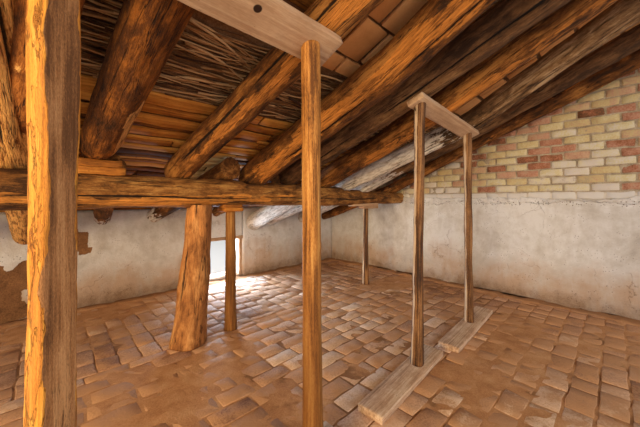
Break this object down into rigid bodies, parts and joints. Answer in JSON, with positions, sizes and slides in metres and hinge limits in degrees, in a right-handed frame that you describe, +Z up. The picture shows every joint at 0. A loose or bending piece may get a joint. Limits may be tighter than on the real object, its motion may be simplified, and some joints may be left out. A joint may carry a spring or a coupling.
{
  "type": "log-roofed attic bay of an adobe house",
  "caption": "End bay of an earth-walled attic: sloping roof of round logs, deck and clay tiles on a purlin, posts and props, with a gable wall and a low window.",
  "frame": {"origin": "middle of the clear room, on the flat underside of the floor", "axes": "+Z up, +Y towards the low eave wall with the window, +X along the purlin towards the gable wall"},
  "size_m": [6.4585, 6.5959, 3.8799],
  "materials": {
    "earth_floor": "rough packed earth",
    "floor_clay": "worn, dusty fired clay",
    "lime_plaster": "rough limewash over earth plaster",
    "brickwork": "fired brick with rough mortar",
    "log_wood": "debarked log, aged",
    "prop_wood": "peeled pole",
    "plank_wood": "rough sawn plank",
    "deck_wood": "split boards",
    "deck_sticks": "brushwood",
    "deck_clay": "flat clay tiles",
    "roof_mud": "dry mud",
    "roof_clay": "weathered fired clay"
  },
  "bodies": {
    "root": {"floor_bed": "earth_floor", "floor_tiles": "floor_clay", "gable_wall_base": "lime_plaster", "gable_brickwork": "brickwork", "eave_wall_left": "lime_plaster", "eave_wall_right": "lime_plaster", "eave_wall_over_window": "lime_plaster", "window_sill": "lime_plaster", "window_lintel": "plank_wood", "window_jamb": "plank_wood", "main_purlin": "log_wood", "leaning_post": "log_wood", "slim_post": "prop_wood", "far_post": "prop_wood", "end_post": "log_wood", "slim_post_packers": "plank_wood", "far_post_boards": "plank_wood", "purlin_block": "plank_wood", "rafter_1": "log_wood", "rafter_2": "log_wood", "rafter_3": "log_wood", "rafter_4": "log_wood", "rafter_5": "log_wood", "rafter_6": "log_wood", "rafter_7": "log_wood", "rafter_8": "log_wood", "rafter_9": "log_wood", "rafter_10": "log_wood", "eave_rafter_1": "log_wood", "eave_rafter_2": "log_wood", "eave_rafter_3": "log_wood", "top_log": "log_wood", "top_post_left": "log_wood", "top_post_right": "log_wood", "near_post": "prop_wood", "centre_prop": "prop_wood", "middle_prop": "prop_wood", "right_prop": "prop_wood", "head_board_left": "plank_wood", "head_board_right": "plank_wood", "sole_board_left": "plank_wood", "sole_board_middle": "plank_wood", "sole_board_right": "plank_wood", "board_deck": "deck_wood", "stick_deck": "deck_sticks", "clay_deck": "deck_clay", "roof_earth": "roof_mud", "roof_tiles": "roof_clay", "capping_tiles": "roof_clay"}
  },
  "joints": []
}
